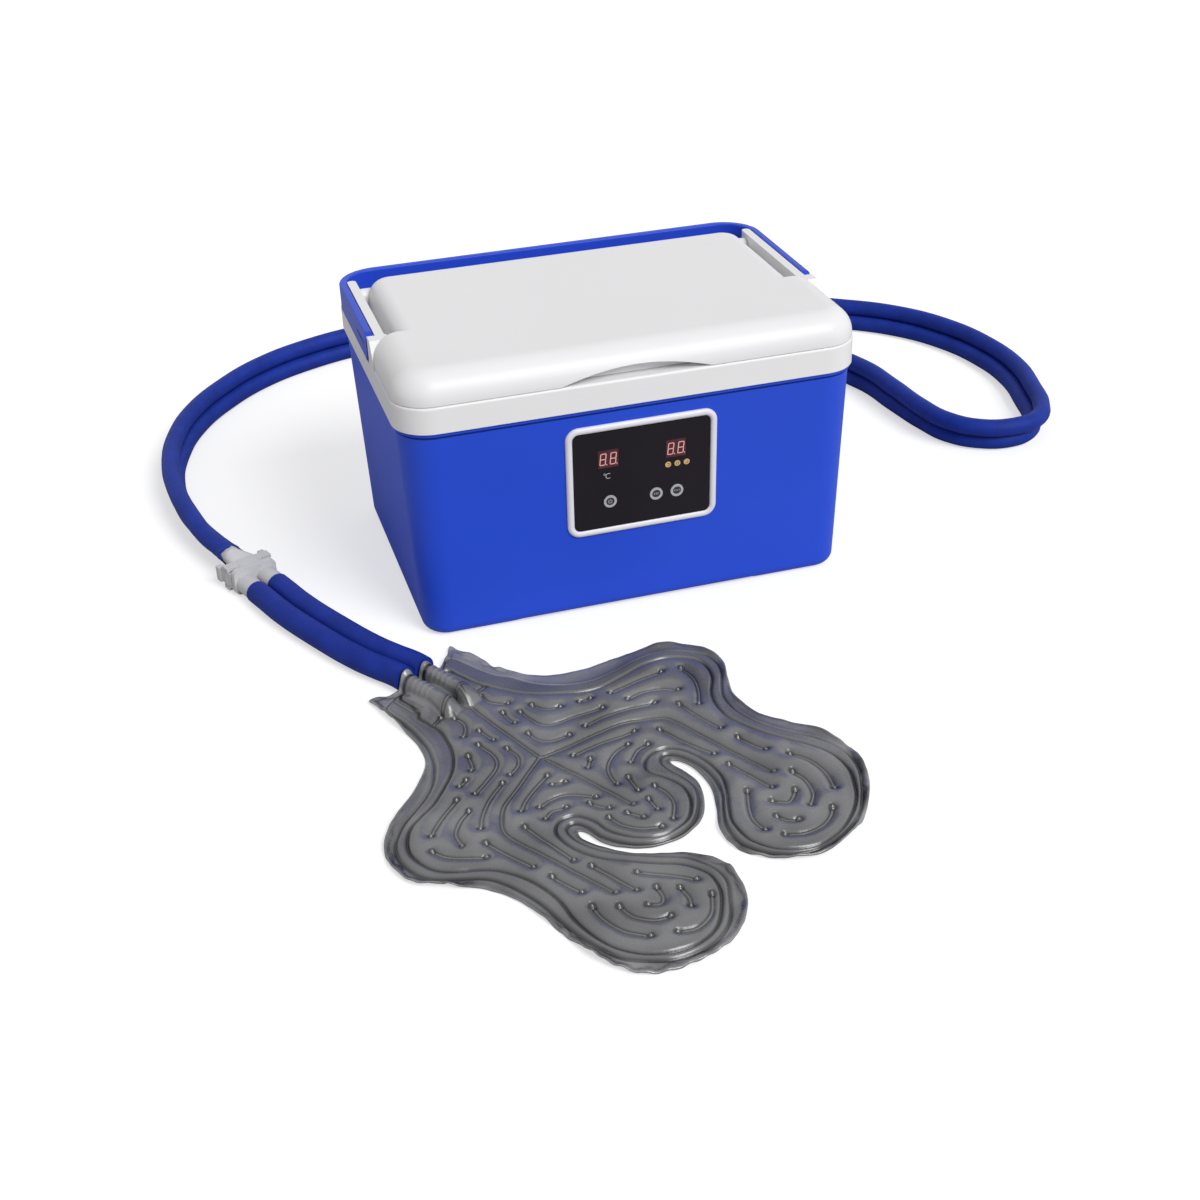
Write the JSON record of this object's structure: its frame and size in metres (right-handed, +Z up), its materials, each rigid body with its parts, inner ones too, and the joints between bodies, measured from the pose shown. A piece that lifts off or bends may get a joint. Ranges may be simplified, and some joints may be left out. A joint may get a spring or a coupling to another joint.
{
  "type": "hot cold therapy machine",
  "caption": "Insulated water-circulation unit with hinged lid, bail handle and front control panel, joined by long twin foam-covered hoses and a latched connector to a knee-shaped therapy pad.",
  "frame": {"origin": "on the floor, under the middle of the housing's base", "axes": "+X to the right along the control panel's wall, +Y from the panel to the back wall, +Z up; the therapy pad lies on the floor in front, towards -Y"},
  "size_m": [0.8041, 0.9784, 0.2135],
  "materials": {
    "blue_shell": "moulded, fine texture, satin",
    "black_plastic": "moulded",
    "steel": "plain steel",
    "nickel": "nickel plated",
    "white_plastic": "moulded, satin",
    "foam": "closed-cell foam",
    "gasket_rubber": "soft silicone",
    "panel_black": "glossy film",
    "display_glass": "red display behind dark film",
    "led_amber": "diffused amber lens",
    "button_cap": "satin cap",
    "circuit_board": "solder mask",
    "grey_plastic": "moulded",
    "ceramic": "ground ceramic",
    "impeller_plastic": "moulded",
    "heater_steel": "drawn tube",
    "hose_foam": "closed-cell foam sleeve over the hose",
    "barb_plastic": "translucent barb",
    "pad_sheet": "welded coated nylon"
  },
  "bodies": {
    "housing": {"outer_shell": "blue_shell", "base_cover": "black_plastic", "base_screws": "steel", "inner_liner": "white_plastic", "insulation": "foam", "collar": "white_plastic", "panel_bezel": "white_plastic", "panel_plate": "panel_black", "temperature_display": "display_glass", "timer_display": "display_glass", "indicator_leds": "led_amber", "button_switches": "black_plastic", "control_board": "circuit_board", "panel_housing": "grey_plastic", "housing_screws": "steel", "pump_body": "black_plastic", "pump_cover": "grey_plastic", "pump_shaft": "ceramic", "heater": "heater_steel", "pump_to_heater_tube": "gasket_rubber", "heater_to_port_tube": "gasket_rubber", "return_tube": "gasket_rubber", "suction_sleeve": "gasket_rubber", "strainer": "grey_plastic", "temperature_probe": "steel", "supply_port": "white_plastic", "return_port": "white_plastic", "port_nuts": "nickel", "power_inlet": "black_plastic", "inlet_nut": "nickel", "wire_harness": "black_plastic", "supply_hose": "hose_foam", "return_hose": "hose_foam", "connector_socket": "white_plastic", "connector_plug": "white_plastic", "latch_pins": "steel", "pad_supply_hose": "hose_foam", "pad_return_hose": "hose_foam", "pad_barbs": "barb_plastic", "therapy_pad": "pad_sheet"},
    "lid": {"lid_shell": "white_plastic", "lid_inner": "white_plastic", "lid_foam": "foam", "lid_gasket": "gasket_rubber"},
    "bail": {"bail_handle": "blue_shell"},
    "power_key": {"power_button": "button_cap"},
    "mode_key": {"mode_button": "button_cap"},
    "time_key": {"time_button": "button_cap"},
    "impeller": {"pump_impeller": "impeller_plastic"},
    "latch_left": {"left_latch": "white_plastic"},
    "latch_right": {"right_latch": "white_plastic"}
  },
  "joints": [
    {"name": "lid_hinge", "type": "hinge", "parent": "housing", "child": "lid", "pos_m": [0, 0.084, 0.199], "axis": [-1, 0, 0], "range_deg": [0, 100]},
    {"name": "handle_swing", "type": "hinge", "parent": "housing", "child": "bail", "pos_m": [0, -0.011, 0.1985], "axis": [-1, 0, 0], "range_deg": [-90, 0]},
    {"name": "power_press", "type": "slide", "parent": "housing", "child": "power_key", "axis": [0, 0.9993, 0.0381], "range_m": [0, 0.0007], "stiffness_N_per_m": 500, "springref_m": -0.001},
    {"name": "mode_press", "type": "slide", "parent": "housing", "child": "mode_key", "axis": [0, 0.9993, 0.0381], "range_m": [0, 0.0007], "stiffness_N_per_m": 500, "springref_m": -0.001},
    {"name": "time_press", "type": "slide", "parent": "housing", "child": "time_key", "axis": [0, 0.9993, 0.0381], "range_m": [0, 0.0007], "stiffness_N_per_m": 500, "springref_m": -0.001},
    {"name": "impeller_spin", "type": "hinge", "parent": "housing", "child": "impeller", "pos_m": [-0.03, 0.02, 0.0265], "axis": [0, 0, 1], "continuous": true},
    {"name": "left_latch_squeeze", "type": "hinge", "parent": "housing", "child": "latch_left", "pos_m": [-0.29742, 0.01256, 0.011], "axis": [0, 0, -1], "range_deg": [0, 8], "stiffness_Nm_per_rad": 0.3, "springref_deg": -2.86},
    {"name": "right_latch_squeeze", "type": "hinge", "parent": "housing", "child": "latch_right", "pos_m": [-0.2668, 0.02432, 0.011], "axis": [0, 0, 1], "range_deg": [0, 8], "stiffness_Nm_per_rad": 0.3, "springref_deg": -2.86}
  ]
}
